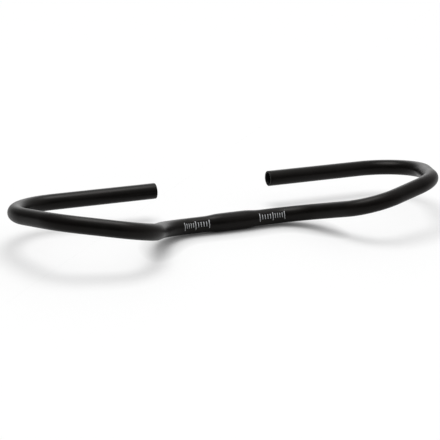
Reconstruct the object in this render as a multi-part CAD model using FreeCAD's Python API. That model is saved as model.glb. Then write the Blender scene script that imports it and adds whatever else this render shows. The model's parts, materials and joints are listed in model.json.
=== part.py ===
import FreeCAD, Part
import math
import os

# A multi-grip trekking handlebar, made of one aluminium tube. The middle is a straight clamp, swaged up
# to a larger diameter. On each side the tube is bent forward and up, round a loop and back, and ends in
# a straight open grip that points at the grip of the other side.
# Frame: the origin is the middle of the clamp. +X runs along the clamp to the rider's left, +Y points
# back to the rider and +Z points up. Lengths are in millimetres and angles in degrees.

# Section of the tube and of the clamp
tube_diameter = 22.2
tube_wall = 2.0
clamp_diameter = 25.4
clamp_wall = 2.4
clamp_length = 30.0
taper_length = 30.0
end_chamfer = 0.6

# Straight runs of one side, from the clamp outwards
shoulder_run = 13.5
neck_run = 49.5
front_run = 43.0
side_run = 43.0
grip_run = 149.0

# Centreline radius of each bend of one side, in the same order
neck_bend = 65.0
front_bend = 55.0
corner_bend = 60.0
rear_bend = 65.0

# Direction of each run. The heading turns from +X towards +Y, and the climb is the angle above level.
neck_heading = -63.0
neck_climb = 18.0
front_heading = 17.0
front_climb = 7.5
side_heading = 68.5
side_climb = -9.5

# The largest share of the wall that one chamfer of an open end takes
chamfer_share = 0.45

tube_radius = tube_diameter / 2
bore_radius = tube_radius - tube_wall
clamp_radius = clamp_diameter / 2
clamp_bore_radius = clamp_radius - clamp_wall
half_clamp = clamp_length / 2
centre_half = half_clamp + taper_length + shoulder_run
chamfer = min(end_chamfer, chamfer_share * tube_wall)

origin = FreeCAD.Vector(0, 0, 0)
along_clamp = FreeCAD.Vector(1, 0, 0)
up = FreeCAD.Vector(0, 0, 1)


def run_direction(heading, climb):
    """Unit vector of a straight run from its heading and climb."""
    level = math.cos(math.radians(climb))
    return FreeCAD.Vector(
        level * math.cos(math.radians(heading)),
        level * math.sin(math.radians(heading)),
        math.sin(math.radians(climb)),
    )


def wall_section(centre, direction):
    """Ring of the tube wall, square to the centreline."""
    outside = Part.Wire(Part.makeCircle(tube_radius, centre, direction))
    bore = Part.Wire(Part.makeCircle(bore_radius, centre, direction))
    return Part.Face([outside, bore], "Part::FaceMakerBullseye")


def straight(start, direction, length):
    """Straight tube, and the point where it ends."""
    travel = direction * length
    return wall_section(start, direction).extrude(travel), start + travel


def bend(start, direction, next_direction, radius):
    """Bent tube that turns from one direction to the next, and the point where it ends."""
    axis = direction.cross(next_direction).normalize()
    centre = start + axis.cross(direction) * radius
    turn = math.degrees(direction.getAngle(next_direction))
    end = centre + FreeCAD.Rotation(axis, turn).multVec(start - centre)
    return wall_section(start, direction).revolve(centre, axis, turn), end


def swage(x_start, radius_start, x_end, radius_end):
    """S-shaped edge from one radius to another that leaves and arrives parallel to the clamp."""
    x_middle = (x_start + x_end) / 2
    curve = Part.BezierCurve()
    curve.setPoles([
        FreeCAD.Vector(x_start, 0, radius_start),
        FreeCAD.Vector(x_middle, 0, radius_start),
        FreeCAD.Vector(x_middle, 0, radius_end),
        FreeCAD.Vector(x_end, 0, radius_end),
    ])
    return curve.toShape()


def clamp_edges(small_radius, large_radius):
    """Edges of one skin of the clamp, from its left end to its right end."""
    taper_end = half_clamp + taper_length
    return [
        Part.makeLine((-centre_half, 0, small_radius), (-taper_end, 0, small_radius)),
        swage(-taper_end, small_radius, -half_clamp, large_radius),
        Part.makeLine((-half_clamp, 0, large_radius), (half_clamp, 0, large_radius)),
        swage(half_clamp, large_radius, taper_end, small_radius),
        Part.makeLine((taper_end, 0, small_radius), (centre_half, 0, small_radius)),
    ]


def make_clamp():
    """Straight middle of the bar, turned about its own axis."""
    edges = clamp_edges(tube_radius, clamp_radius) + clamp_edges(bore_radius, clamp_bore_radius)
    for x in (-centre_half, centre_half):
        edges.append(Part.makeLine((x, 0, bore_radius), (x, 0, tube_radius)))
    outline = Part.Wire(Part.sortEdges(edges)[0])
    return Part.Face(outline).revolve(origin, along_clamp, 360)


def make_grip(start, direction):
    """Straight open grip with chamfered edges at its mouth, turned about its own axis."""
    outward = (up - direction * up.dot(direction)).normalize()

    def at(along, radius):
        return start + direction * along + outward * radius

    corners = [
        at(0, bore_radius),
        at(0, tube_radius),
        at(grip_run - chamfer, tube_radius),
        at(grip_run, tube_radius - chamfer),
        at(grip_run, bore_radius + chamfer),
        at(grip_run - chamfer, bore_radius),
    ]
    wall = Part.Face(Part.makePolygon(corners + corners[:1]))
    return wall.revolve(start, direction, 360), at(grip_run, 0)


def make_left_side():
    """All pieces of the left side, from the end of the clamp to the open grip, and the grip's mouth."""
    neck = run_direction(neck_heading, neck_climb)
    front = run_direction(front_heading, front_climb)
    side = run_direction(side_heading, side_climb)
    back = along_clamp * -1
    route = [
        (along_clamp, neck_bend, neck, neck_run),
        (neck, front_bend, front, front_run),
        (front, corner_bend, side, side_run),
    ]
    pieces = []
    point = along_clamp * centre_half
    for direction, radius, next_direction, length in route:
        piece, point = bend(point, direction, next_direction, radius)
        pieces.append(piece)
        piece, point = straight(point, next_direction, length)
        pieces.append(piece)
    piece, point = bend(point, side, back, rear_bend)
    pieces.append(piece)
    piece, point = make_grip(point, back)
    pieces.append(piece)
    return pieces, point


left_side, left_mouth = make_left_side()
right_side = [piece.mirror(origin, along_clamp) for piece in left_side]
handlebar = make_clamp().multiFuse(left_side + right_side).removeSplitter()

os.makedirs("parts", exist_ok=True)
handlebar.exportStep("parts/handlebar.step")

box = handlebar.BoundBox
print("valid", handlebar.isValid(), "solids", len(handlebar.Solids), "volume", round(handlebar.Volume, 1))
print("size", round(box.XLength, 2), round(box.YLength, 2), round(box.ZLength, 2))
print("left mouth", round(left_mouth.x, 3), round(left_mouth.y, 3), round(left_mouth.z, 3))
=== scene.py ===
# %% [markdown]
# # A black trekking handlebar
# A trekking bar is one aluminium tube. Its middle is a fat clamp for the stem, and each side runs forward,
# round a loop and back, so that the hands find several places to hold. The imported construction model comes
# in first and stays where it is. Everything below is in metres and in its frame: +X along the clamp to the
# rider's left, +Y back to the rider and +Z up.

# %% Load the construction model
import json
from collections import namedtuple

import bpy
import numpy as np
from mathutils import Matrix


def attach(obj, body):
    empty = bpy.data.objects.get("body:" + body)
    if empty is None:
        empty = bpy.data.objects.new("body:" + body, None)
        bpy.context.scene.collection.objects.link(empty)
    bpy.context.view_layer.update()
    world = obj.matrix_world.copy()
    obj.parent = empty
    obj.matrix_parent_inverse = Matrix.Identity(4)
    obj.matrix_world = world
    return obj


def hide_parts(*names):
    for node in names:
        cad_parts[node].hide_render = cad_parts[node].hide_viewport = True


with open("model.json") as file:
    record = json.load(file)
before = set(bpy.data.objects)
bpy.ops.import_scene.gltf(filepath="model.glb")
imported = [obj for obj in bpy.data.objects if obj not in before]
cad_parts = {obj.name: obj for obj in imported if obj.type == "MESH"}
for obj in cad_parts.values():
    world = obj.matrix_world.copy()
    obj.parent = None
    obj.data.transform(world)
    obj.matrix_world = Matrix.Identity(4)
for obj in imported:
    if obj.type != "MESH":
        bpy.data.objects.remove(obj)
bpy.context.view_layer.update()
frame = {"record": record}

# %% [markdown]
# ## The list of the tube bender
# A bending machine makes the bar from a list: feed a straight length, bend it round a die, turn the tube,
# feed again. The same list gives the centreline exactly, as straight runs joined by circular arcs. A curve
# drawn by eye would be quicker, but the radius of its bends would wander, and a satin tube shows that at
# once in its highlights. The diameters are read from the mounts in the record, so the skin fits what clamps
# on to it.

# %% Diameters and the bender's list
MM = 0.001
mounts = {mount["name"]: mount for mount in frame["record"]["mounts"]}
tube_radius, bore_radius, clamp_radius = (
    mounts[name]["dims"]["r_mm"] * MM for name in ("left_grip_seat", "left_end_bore", "stem_clamp")
)
# The left side from the middle of the clamp outwards. The first run is half of the straight middle.
straight_runs = np.array([58.5, 49.5, 43, 43, 149]) * MM
bend_radii = np.array([65, 55, 60, 65]) * MM
headings = np.radians([0, -63, 17, 68.5, 180])
climbs = np.radians([0, 18, 7.5, -9.5, 0])
level = np.cos(climbs)
directions = np.stack([level * np.cos(headings), level * np.sin(headings), np.sin(climbs)], -1)
print("radii in mm: tube", tube_radius / MM, "bore", bore_radius / MM, "clamp", clamp_radius / MM)

# %% Stretches of the left side
Stretch = namedtuple("Stretch", "start length point direction axis radius upward")


def turned(vector, axis, angles):
    """Vector v turned about a unit axis k by many angles a: v cos a + (k x v) sin a + k (k.v)(1 - cos a)."""
    cosine, sine = np.cos(angles)[:, None], np.sin(angles)[:, None]
    return vector * cosine + np.cross(axis, vector) * sine + axis * (axis @ vector) * (1 - cosine)


def bend_list():
    """Runs and bends in their order, each with the length along the tube where it starts. A bend turns about
    the cross product of its two directions. The radius of a straight run is 0. The upward side goes round
    each bend with the tube, so the tube never twists."""
    start, point, upward = 0.0, np.zeros(3), np.array([0.0, 0.0, 1.0])
    for number, (run, direction) in enumerate(zip(straight_runs, directions)):
        yield Stretch(start, run, point, direction, direction, 0.0, upward)
        start, point = start + run, point + direction * run
        if number == len(bend_radii):
            return
        radius = bend_radii[number]
        axis = np.cross(direction, directions[number + 1])
        turn = np.arctan2(np.linalg.norm(axis), direction @ directions[number + 1])
        axis = axis / np.linalg.norm(axis)
        yield Stretch(start, turn * radius, point, direction, axis, radius, upward)
        inward = np.cross(axis, direction)
        point = point + radius * (np.sin(turn) * direction + (1 - np.cos(turn)) * inward)
        start, upward = start + turn * radius, turned(upward, axis, np.array([turn]))[0]


route = list(bend_list())
half_length = route[-1].start + route[-1].length
miss = np.cross(route[-1].point - mounts["left_grip_seat"]["pos_m"], route[-1].direction)
print("tube length", round(2 * half_length / MM, 1), "mm")
print("the grip misses its mount by", np.linalg.norm(miss) / MM, "mm")

# %% [markdown]
# ## The tube as one closed surface
# The skin is a ring carried along the centreline: one parameter runs along the tube and the other goes round
# it. It goes out along the outside, round the lip of one mouth, back through the bore and round the other
# lip, and so closes on itself. A bevelled curve object would give the outside alone. Here the tube has a
# true wall, its mouth shows a dark hole, and one grid holds it all.

# %% Rings along the tube
# A bend stretches the metal fully from this far inside its ends.
lean_fade = 10 * MM
# A ring where two stretches meet belongs to both, so each end has this much play.
rounding = 1e-9


def carried(s):
    """Centre C, upward side N, other side B and lean O of the ring at each signed length s from the middle of
    the clamp. On a run C = p + t (s - s0). In a bend a = (s - s0) / R and
    C = p + R (sin a t + (1 - cos a) k x t). O points away from the centre of a bend, is 1 / R long there and
    fades to 0 at the bend's two ends. Negative s is the mirror image in the plane X = 0."""
    distance = np.abs(s)
    centres, ups, sides, leans = (np.zeros((len(s), 3)) for _ in range(4))
    for part in route:
        here = (distance >= part.start - rounding) & (distance <= part.start + part.length + rounding)
        along = distance[here] - part.start
        angle = along / part.radius if part.radius else np.zeros_like(along)
        heading = turned(part.direction, part.axis, angle)
        ups[here] = turned(part.upward, part.axis, angle)
        sides[here] = np.cross(heading, ups[here])
        if part.radius:
            inward = np.cross(part.axis, part.direction)
            arc = np.sin(angle)[:, None] * part.direction + (1 - np.cos(angle))[:, None] * inward
            centres[here] = part.point + part.radius * arc
            fade = np.clip(np.minimum(along, part.length - along) / lean_fade, 0, 1) / part.radius
            leans[here] = -fade[:, None] * np.cross(part.axis, heading)
        else:
            centres[here] = part.point + along[:, None] * part.direction
    for vectors in (centres, ups, sides, leans):
        vectors[s < 0, 0] *= -1
    return centres, ups, sides, leans


left_mouth = carried(np.array([half_length]))[0][0]
print("the mouth of the left grip is at", np.round(left_mouth / MM, 1), "mm")

# %% [markdown]
# ## The swaged clamp
# The middle of a real bar is pressed out to the wider diameter of the stem, and the metal flows there in a
# smooth S. A straight cone would be simpler, but it shows two rings of broken light where it starts and
# ends. So the radius of each ring follows the same S curve as the construction model.

# %% Swaged clamp
clamp_half = mounts["stem_clamp"]["dims"]["length_mm"] * MM / 2
clamp_wall, taper_length = 2.4 * MM, 30 * MM
clamp_bore_radius = clamp_radius - clamp_wall
taper_end = clamp_half + taper_length
curve_points = 200


def swaged(s, small, large):
    """Radius of the clamp, an S curve between two radii: with t from 0 to 1, the share of the taper passed is
    1.5 t - 1.5 t^2 + t^3 and the share of the rise is 3 t^2 - 2 t^3."""
    t = np.linspace(0, 1, curve_points)
    passed = (taper_end - np.abs(s)) / taper_length
    return small + (large - small) * np.interp(passed, 1.5 * t - 1.5 * t**2 + t**3, 3 * t**2 - 2 * t**3)


halfway = swaged(clamp_half + taper_length / 2, tube_radius, clamp_radius)
print("radius halfway along the taper:", round(halfway / MM, 2), "mm")

# %% [markdown]
# ## A printed scale beside the clamp
# Bars often carry a row of pad-printed marks on each side of the clamp, to centre them in the stem. The ink
# is far too thin for a shape of its own. Rings of the grid stand at both edges of each mark instead, so that
# whole faces can take the ink and its edges stay crisp at any distance.

# %% Places of the marks
mark_width = 1.2 * MM
first_mark, last_mark, mark_spacing = 38, 78, 4
mark_places = np.arange(first_mark, last_mark + 1, mark_spacing) * MM
# Angles are in degrees round the tube, counted from its upward side to the front.
mark_middle_angle, long_half_angle, short_half_angle, long_every = 70, 30, 17.5, 5
long_ones = np.arange(len(mark_places)) % long_every == 0
mark_half_angles = np.where(long_ones, long_half_angle, short_half_angle)
mark_edges = np.concatenate([mark_places - mark_width / 2, mark_places + mark_width / 2])
long_height = 2 * np.radians(long_half_angle) * tube_radius
print(2 * len(mark_places), "marks, the long ones", round(long_height / MM, 1), "mm high")

# %% [markdown]
# ## Profile and mesh
# The profile lists each ring's place along the tube and its radius, once round the whole wall. The lips are
# two quarter circles, as a deburring tool leaves them. The mesh could be cut from primitives with booleans,
# but a grid of clean quads shades better, and each of its rows has a known place on the tube.

# %% Where rings stand
taper_step, least_step = 1 * MM, 0.05 * MM
# The step on runs and the step in bends. Nobody looks far into the bore, so its rings are wider apart.
outside_steps, bore_steps = (4 * MM, 2 * MM), (8 * MM, 4 * MM)


def stations(run_step, bend_step, extra=()):
    """Lengths along the left side where rings stand: wide apart on runs, closer in bends and in the taper. Of
    two that nearly meet, one is left out."""
    marks = [np.asarray(extra), np.arange(clamp_half, taper_end, taper_step)]
    for part in route:
        count = int(np.ceil(part.length / (bend_step if part.radius else run_step)))
        marks.append(part.start + np.linspace(0, part.length, count + 1))
    marks = np.unique(np.round(np.concatenate(marks), 6))
    return marks[np.append(True, np.diff(marks) > least_step)]


outer_marks, inner_marks = stations(*outside_steps, mark_edges), stations(*bore_steps)
print("rings of the left side:", len(outer_marks), "outside and", len(inner_marks), "in the bore")

# %% Profile of the wall, out and back
lip, lip_gap, lip_rings = 0.6 * MM, 0.2 * MM, 6
lip_edge = half_length - lip


def both_sides(marks):
    """Lengths of the left side up to the lip, with their mirror images, in rising order."""
    marks = marks[marks < lip_edge - lip_gap]
    return np.concatenate([-marks[:0:-1], marks])


outer_s = both_sides(outer_marks)
inner_s = both_sides(inner_marks)[::-1]
# A lip of radius l: s = e + l sin q, r = tube - l + l cos q outside and r = bore + l - l cos q inside.
q = np.linspace(0, np.pi / 2, lip_rings)
lip_s = lip_edge + lip * np.sin(np.concatenate([q, q[::-1]]))
lip_r = np.concatenate([tube_radius - lip + lip * np.cos(q), bore_radius + lip - lip * np.cos(q[::-1])])
outer_r = swaged(outer_s, tube_radius, clamp_radius)
inner_r = swaged(inner_s, bore_radius, clamp_bore_radius)
s = np.concatenate([outer_s, lip_s, inner_s, -lip_s[::-1]])
r = np.concatenate([outer_r, lip_r, inner_r, lip_r[::-1]])
print(len(outer_s), "rings outside,", len(inner_s), "in the bore and", 2 * len(lip_s), "on the lips")

# %% Mesh of the bar
around = 72
v = np.arange(around) * 2 * np.pi / around
centres, ups, sides, leans = carried(s)
ring = np.cos(v)[:, None] * ups[:, None] + np.sin(v)[:, None] * sides[:, None]
vertices = centres[:, None] + r[:, None, None] * ring
row, column = np.meshgrid(np.arange(len(s)), np.arange(around), indexing="ij")
next_row, next_column = (row + 1) % len(s), (column + 1) % around
corners = [(row, column), (row, next_column), (next_row, next_column), (next_row, column)]
faces = np.stack([i * around + j for i, j in corners], -1).reshape(-1, 4)
mesh = bpy.data.meshes.new("trekking_bar_tube")
mesh.from_pydata(vertices.reshape(-1, 3), [], faces)
mesh.shade_smooth()
bar = bpy.data.objects.new("trekking_bar_tube", mesh)
bpy.context.collection.objects.link(bar)
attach(bar, "root")
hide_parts("handlebar")
print(mesh.name, "has", 2 * len(mesh.polygons), "triangles")

# %% [markdown]
# ## Marks that the bender leaves on the surface
# Two maps go with the mesh. A UV map holds the distance along the wall and round the tube, in metres, for
# the lines that drawing leaves in the bore. An attribute holds how far each bend stretched the metal: the
# ring's radius over the bend's radius on the outside of the bend, the same with a minus sign on the inside.
# Stretched metal has a coarser grain, which stays dull under the anodising.

# %% UV map and stretch
wall_step = np.hypot(np.diff(s, append=s[0]), np.diff(r, append=r[0]))
wall_run = np.concatenate([[0], np.cumsum(wall_step)])
u_corner = wall_run[np.stack([row, row, row + 1, row + 1], -1)]
v_corner = tube_radius * 2 * np.pi / around * np.stack([column, column + 1, column + 1, column], -1)
layer = mesh.uv_layers.new(name="along_and_around")
layer.data.foreach_set("uv", np.stack([u_corner, v_corner], -1).astype(np.float32).ravel())
stretch = r[:, None] * (ring * leans[:, None]).sum(-1)
attribute = mesh.attributes.new("stretch", "FLOAT", "POINT")
attribute.data.foreach_set("value", stretch.astype(np.float32).ravel())
print("stretch from", round(stretch.min(), 3), "to", round(stretch.max(), 3))


# %% [markdown]
# ## Materials
# Colours are written as on a paint chart and turned to linear light by one function. One small function adds
# a node, so a material reads as a short list. A pattern's scale is one over the size of its features.

# %% Helpers for the materials
def linear(chart):
    """sRGB hex to linear RGBA: c / 12.92 up to 0.04045, and ((c + 0.055) / 1.055)^2.4 above."""
    c = np.array([int(chart[i:i + 2], 16) for i in (1, 3, 5)]) / 255
    return (*np.where(c <= 0.04045, c / 12.92, ((c + 0.055) / 1.055) ** 2.4), 1.0)


def node(owner, kind, links=None, values=None, **settings):
    """Adds a node to a material or world. Links and values go to its inputs by name or number, and settings
    to the node itself."""
    made = owner.node_tree.nodes.new("ShaderNode" + kind)
    for name, setting in settings.items():
        setattr(made, name, setting)
    for name, value in (values or {}).items():
        made.inputs[name].default_value = value
    for name, output in (links or {}).items():
        owner.node_tree.links.new(output, made.inputs[name])
    return made


def emptied(owner):
    """A new material or world with no nodes in it yet."""
    owner.use_nodes = True
    owner.node_tree.nodes.clear()
    return owner


print("half way up the chart, #808080, is", round(linear("#808080")[0], 3), "in linear light")

# %% [markdown]
# ### Black anodised aluminium
# The bar is etched to a satin, anodised and dyed black, so what shines is the clear oxide on top, not bare
# metal. That gives a black with a soft highlight along the tube and hardly any colour of its own. It is a
# dielectric with a weak gloss, because the etched grain swallows much of it. The dye takes a little unevenly,
# over a few centimetres and from pit to pit of the grain. The outside of each bend is duller, and the grain
# breaks up the highlights.

# %% Anodised skin
# The real etched grain is near 0.05 mm. It is drawn at 0.9 mm, so that it still shows in a close view.
dye_patch, grain_size, grain_depth = 30 * MM, 0.9 * MM, 0.065 * MM
grain_share, full_stretch, bend_dullness = 0.6, 0.2, 0.06
skin = emptied(bpy.data.materials.new("black anodised aluminium"))
place = node(skin, "TexCoord").outputs["Object"]
dye = node(skin, "TexNoise", {"Vector": place}, {"Scale": 1 / dye_patch, "Detail": 3.0}).outputs["Fac"]
grain = node(skin, "TexNoise", {"Vector": place}, {"Scale": 1 / grain_size, "Detail": 2.0}).outputs["Fac"]
stretched = node(skin, "Attribute", attribute_name="stretch").outputs["Fac"]
opened = node(skin, "MapRange", {"Value": stretched}, {"From Max": full_stretch}).outputs["Result"]
# MULTIPLY_ADD gives input 0 times input 1 plus input 2: here the grain times its share, plus the dye.
mottled = node(skin, "Math", {0: grain, 2: dye}, {1: grain_share}, operation="MULTIPLY_ADD").outputs["Value"]
uneven = node(skin, "MapRange", {"Value": mottled}, {"From Min": 0.55, "From Max": 1.05}).outputs["Result"]
# A Mix node of colours takes its share at input 0 and its two colours at inputs 6 and 7, and gives output 2.
blacks = {6: linear("#090807"), 7: linear("#141211")}
black = node(skin, "Mix", {0: uneven}, blacks, data_type="RGBA").outputs[2]
black = node(skin, "Mix", {0: opened, 6: black}, {7: linear("#120f0e")}, data_type="RGBA").outputs[2]
dull = node(skin, "MapRange", {"Value": uneven}, {"To Min": 0.31, "To Max": 0.40}).outputs["Result"]
dull = node(skin, "Math", {0: opened, 2: dull}, {1: bend_dullness}, operation="MULTIPLY_ADD").outputs["Value"]
etched = node(skin, "Bump", {"Height": grain}, {"Strength": 1.0, "Distance": grain_depth}).outputs["Normal"]
shader = node(
    skin, "BsdfPrincipled", {"Base Color": black, "Roughness": dull, "Normal": etched},
    {"IOR": 1.5, "Specular IOR Level": 0.12, "Specular Tint": linear("#fffbf7")},
)
node(skin, "OutputMaterial", {"Surface": shader.outputs["BSDF"]})
print(skin.name, "has", len(skin.node_tree.nodes), "nodes")

# %% [markdown]
# ### The bore
# The inside keeps the long fine lines of the mandrel that the tube was drawn over, and the dye reaches it
# only thinly. That gives a dark grey that glints along the tube. The lines follow the tube round its bends,
# so they are drawn on the UV map: long in the first direction and narrow in the second.

# %% Drawn bore
line_length, line_width, line_depth = 60 * MM, 0.7 * MM, 0.02 * MM
bore = emptied(bpy.data.materials.new("drawn aluminium bore"))
wall = node(bore, "TexCoord").outputs["UV"]
line_scale = (1 / line_length, 1 / line_width, 1)
lines = node(bore, "Mapping", {"Vector": wall}, {"Scale": line_scale}).outputs["Vector"]
lines = node(bore, "TexNoise", {"Vector": lines}, {"Scale": 1.0, "Detail": 4.0}).outputs["Fac"]
lines = node(bore, "MapRange", {"Value": lines}, {"From Min": 0.3, "From Max": 0.7}).outputs["Result"]
greys = {6: linear("#0d0d0e"), 7: linear("#242425")}
grey = node(bore, "Mix", {0: lines}, greys, data_type="RGBA").outputs[2]
dull = node(bore, "MapRange", {"Value": lines}, {"To Min": 0.6, "To Max": 0.42}).outputs["Result"]
scored = node(bore, "Bump", {"Height": lines}, {"Strength": 0.6, "Distance": line_depth}).outputs["Normal"]
shader = node(
    bore, "BsdfPrincipled", {"Base Color": grey, "Roughness": dull, "Normal": scored},
    {"Specular IOR Level": 0.2},
)
node(bore, "OutputMaterial", {"Surface": shader.outputs["BSDF"]})
print(bore.name, "has", len(bore.node_tree.nodes), "nodes")

# %% [markdown]
# ### The ink
# Pad printing lays a thin film of light grey that sinks into the etched grain, so it is matt and a little
# mottled. A picture of the marks could be laid over the tube, but a plain material on the faces between the
# edges of each mark needs none.

# %% Printing ink
film_speckle = 0.6 * MM
ink = emptied(bpy.data.materials.new("pale grey pad-printing ink"))
place = node(ink, "TexCoord").outputs["Object"]
film = node(ink, "TexNoise", {"Vector": place}, {"Scale": 1 / film_speckle, "Detail": 3.0}).outputs["Fac"]
film = node(ink, "MapRange", {"Value": film}, {"From Min": 0.3, "From Max": 0.6}).outputs["Result"]
greys = {6: linear("#9c9ea0"), 7: linear("#d3d5d7")}
grey = node(ink, "Mix", {0: film}, greys, data_type="RGBA").outputs[2]
dull = node(ink, "MapRange", {"Value": film}, {"To Min": 0.6, "To Max": 0.48}).outputs["Result"]
shader = node(ink, "BsdfPrincipled", {"Base Color": grey, "Roughness": dull}, {"Specular IOR Level": 0.3})
node(ink, "OutputMaterial", {"Surface": shader.outputs["BSDF"]})
print(ink.name, "has", len(ink.node_tree.nodes), "nodes")

# %% [markdown]
# ### Which face takes which finish
# The rows of the grid say where a face is: outside, on a lip or in the bore. So the finishes are three
# numbers in one array, with no picking of faces by hand.

# %% Give each face its material
finishes = [skin, bore, ink]
for material in finishes:
    mesh.materials.append(material)
finish = np.full(row.shape, finishes.index(skin), np.int32)
bore_first = len(outer_s) + len(lip_s) - 1
finish[bore_first:bore_first + len(inner_s) + 1] = finishes.index(bore)
outside = row < len(outer_s) - 1
face_s = np.abs(s[row] + s[next_row]) / 2
face_angle = np.degrees((column + 0.5) * 2 * np.pi / around)
for mark, half_angle in zip(mark_places, mark_half_angles):
    inked = (np.abs(face_s - mark) < mark_width / 2) & (np.abs(face_angle - mark_middle_angle) < half_angle)
    finish[inked & outside] = finishes.index(ink)
mesh.polygons.foreach_set("material_index", finish.ravel())
mesh.update()
print("faces of skin, bore and ink:", np.bincount(finish.ravel()))

# %% [markdown]
# ## The studio
# The bar lies on white paper under a soft box. A bright backdrop stands low behind it, opposite the camera,
# and the room is dark behind the camera and on the left. That is why the far edge of the tube is light and
# its front is black. The sky of the world stands for the room: its light grows evenly towards the ceiling
# and the right, and a soft spot in it is the backdrop. Lamps all round would be simpler, but they would give
# the tube a bright stripe for each lamp.

# %% Walls
sky_middle, sky_rise, sky_bright_side = 0.04, 1.04, np.array([0.442, 0.269, 0.856])
sky_darkest = 0.06
backdrop, backdrop_side, backdrop_focus = 2.2, np.array([0.37, 0.91, 0.17]), 14
world = emptied(bpy.data.worlds.new("studio walls"))
way = node(world, "TexCoord").outputs["Generated"]
facing = node(world, "VectorMath", {0: way}, {1: sky_bright_side}, operation="DOT_PRODUCT").outputs["Value"]
slope = {1: sky_rise, 2: sky_middle}
bright = node(world, "Math", {0: facing}, slope, operation="MULTIPLY_ADD").outputs["Value"]
bright = node(world, "Math", {0: bright}, {1: sky_darkest}, operation="MAXIMUM").outputs["Value"]
facing = node(world, "VectorMath", {0: way}, {1: backdrop_side}, operation="DOT_PRODUCT").outputs["Value"]
facing = node(world, "Math", {0: facing}, {1: 0.0}, operation="MAXIMUM").outputs["Value"]
facing = node(world, "Math", {0: facing}, {1: backdrop_focus}, operation="POWER").outputs["Value"]
bright = node(world, "Math", {0: facing, 2: bright}, {1: backdrop}, operation="MULTIPLY_ADD").outputs["Value"]
walls = node(world, "Background", {"Strength": bright}).outputs["Background"]
node(world, "OutputWorld", {"Surface": walls})
bpy.context.scene.world = world
# A sky that rises evenly by g towards the zenith lights the floor like an even sky of its middle + 2 g / 3.
sky_light = sky_middle + sky_rise * sky_bright_side[2] * 2 / 3
print("light of the walls on the floor, without the backdrop:", round(sky_light, 2))

# %% Soft box
box_place, box_size, box_radiance = (-0.05, 0.16, 0.90), 0.56, 7.2
floor_height = -clamp_radius
box_height = box_place[2] - floor_height
lamp = bpy.data.lights.new("soft box", "AREA")
lamp.size = box_size
# A flat lamp of the area A that shines with the radiance L has the power pi L A.
lamp.energy = np.pi * box_radiance * box_size**2
soft_box = bpy.data.objects.new("soft box", lamp)
soft_box.location = box_place
bpy.context.collection.objects.link(soft_box)
# Below it, a round lamp of the same area, with the radius a and at the height h, gives L a^2 / (h^2 + a^2).
spread = box_height**2 + box_size**2 / np.pi
box_light = box_radiance * box_size**2 / np.pi / spread
print("light of the soft box on the floor below it:", round(box_light, 2))

# %% [markdown]
# ### Paper
# White paper is not as even in a picture as it looks: the light falls off away from the soft box. A
# photographer evens it out with more lamps on the paper. Here the paper glows just enough to come to a full
# white everywhere, for the camera and for what the tube mirrors. Near the bar an ambient occlusion node
# darkens the glow: a painted shadow under the tube, standing in for the light that the bar would shut off.

# %% Sheet of paper
half_width = 100.0
paper = emptied(bpy.data.materials.new("white studio paper"))
sheet = bpy.data.meshes.new("studio_paper")
edge = half_width * np.array([(-1, -1, 0), (1, -1, 0), (1, 1, 0), (-1, 1, 0)])
sheet.from_pydata(edge, [], [(0, 1, 2, 3)])
sheet.materials.append(paper)
floor = bpy.data.objects.new("studio_paper", sheet)
floor.location = (box_place[0], box_place[1], floor_height)
bpy.context.collection.objects.link(floor)
print("the paper lies at", round(floor_height / MM, 1), "mm")

# %% What the lamps leave to the glow
albedo, full_white = 0.38, 1.03
place = node(paper, "TexCoord").outputs["Object"]
apart = node(paper, "VectorMath", {0: place, 1: place}, operation="DOT_PRODUCT").outputs["Value"]
# At the distance d from below the soft box, its light has fallen to (k / (k + d^2))^2, with k = h^2 + a^2.
far = node(paper, "Math", {0: apart}, {1: spread}, operation="ADD").outputs["Value"]
near = node(paper, "Math", {1: far}, {0: spread}, operation="DIVIDE").outputs["Value"]
near = node(paper, "Math", {0: near}, {1: 2.0}, operation="POWER").outputs["Value"]
glow_far = full_white - albedo * sky_light
glow_loss = {1: -albedo * box_light, 2: glow_far}
lack = node(paper, "Math", {0: near}, glow_loss, operation="MULTIPLY_ADD").outputs["Value"]
glow_below = glow_far - albedo * box_light
print("glow below the soft box:", round(glow_below, 2), "and far from it:", round(glow_far, 2))

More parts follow.
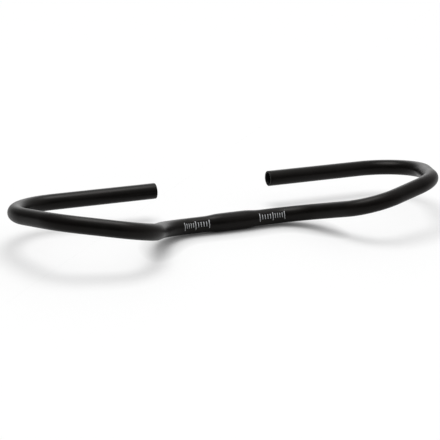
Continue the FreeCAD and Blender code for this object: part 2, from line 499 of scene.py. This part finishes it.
# %% Paper that glows
contact_reach, contact_rays, contact_depth = 0.03, 8, 1.5
# Ambient occlusion darkens the glow near the bar, a painted contact shadow under the tube.
painted_shade_factor = node(
    paper, "AmbientOcclusion", values={"Distance": contact_reach}, samples=contact_rays
).outputs["AO"]
painted_shade_factor = node(paper, "Math", {0: painted_shade_factor}, {1: contact_depth}, operation="POWER").outputs["Value"]
rays = node(paper, "LightPath").outputs
lit = {0: rays["Is Camera Ray"], 1: rays["Is Glossy Ray"]}
seen = node(paper, "Math", lit, operation="ADD").outputs["Value"]
seen = node(paper, "Math", {0: seen, 1: rays["Is Transmission Ray"]}, operation="ADD").outputs["Value"]
glow = node(paper, "Math", {0: lack, 1: painted_shade_factor}, operation="MULTIPLY").outputs["Value"]
glow = node(paper, "Math", {0: glow, 1: seen}, operation="MULTIPLY").outputs["Value"]
glow = node(paper, "Emission", {"Strength": glow}).outputs["Emission"]
matte = node(paper, "BsdfDiffuse", values={"Color": (albedo, albedo, albedo, 1)}).outputs["BSDF"]
both = node(paper, "AddShader", {0: glow, 1: matte}).outputs["Shader"]
node(paper, "OutputMaterial", {"Surface": both})
print(paper.name, "has", len(paper.node_tree.nodes), "nodes")

# %% [markdown]
# ## The camera
# A long lens stands almost two metres away, in front of the bar and to its right hand side, and looks down a
# little. Its place is worked out from its direction and its distance, and the last turn is the small tilt of
# the picture.

# %% Camera
azimuth, elevation, tilt = np.radians([-22.821, 20.118, 1.419])
distance, aim_right, aim_up = 1.88526, -16.755 * MM, 0.833 * MM
focal_pixels, picture_pixels = 1356.84, 440
flat = np.cos(elevation)
back = np.array([np.sin(azimuth) * flat, -np.cos(azimuth) * flat, np.sin(elevation)])
right = np.cross(-back, [0, 0, 1]) / flat
up = np.cross(right, -back)
eye = back * distance + right * aim_right + up * aim_up
tilted_right = np.cos(tilt) * right + np.sin(tilt) * up
tilted_up = np.cos(tilt) * up - np.sin(tilt) * right
lens = bpy.data.cameras.new("long lens")
lens.sensor_width = 36
lens.lens = focal_pixels * lens.sensor_width / picture_pixels
camera = bpy.data.objects.new("long lens", lens)
camera.matrix_world = Matrix(np.vstack([np.c_[tilted_right, tilted_up, back, eye], [0, 0, 0, 1]]))
bpy.context.collection.objects.link(camera)
bpy.context.scene.camera = camera
bpy.context.scene.view_settings.view_transform = "Standard"
print("lens of", round(lens.lens, 1), "mm at", np.round(eye, 3), "m")
